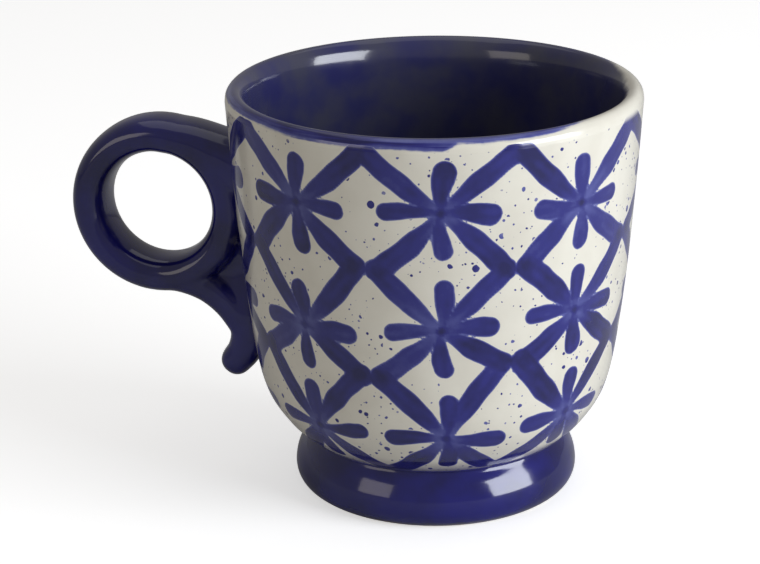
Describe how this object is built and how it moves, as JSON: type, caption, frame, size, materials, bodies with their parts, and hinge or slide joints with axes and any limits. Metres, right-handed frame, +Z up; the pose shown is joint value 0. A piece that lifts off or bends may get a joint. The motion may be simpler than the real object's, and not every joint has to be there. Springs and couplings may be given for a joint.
{
  "type": "footed stoneware mug",
  "caption": "Footed stoneware mug with a rounded bowl, cobalt lining and pedestal foot, and a one-finger ring handle that ends in a curled tail.",
  "frame": {"origin": "under the middle of the whole outline, handle included, on the plane the foot stands on", "axes": "+Z up along the turning axis of the bowl, +X from the handle towards the bowl, Y across the handle"},
  "size_m": [0.1401, 0.0988, 0.1],
  "materials": {
    "painted_white_glaze": "gloss",
    "cobalt_liner": "gloss",
    "cobalt_glaze": "gloss",
    "fired_slip": "matte"
  },
  "bodies": {
    "root": {"bowl": "painted_white_glaze", "liner_glaze": "cobalt_liner", "foot_ring": "cobalt_glaze", "foot_slip_joint": "fired_slip", "handle_ring": "cobalt_glaze", "handle_tail": "cobalt_glaze", "handle_upper_slip_joint": "fired_slip", "handle_lower_slip_joint": "fired_slip"}
  },
  "joints": []
}
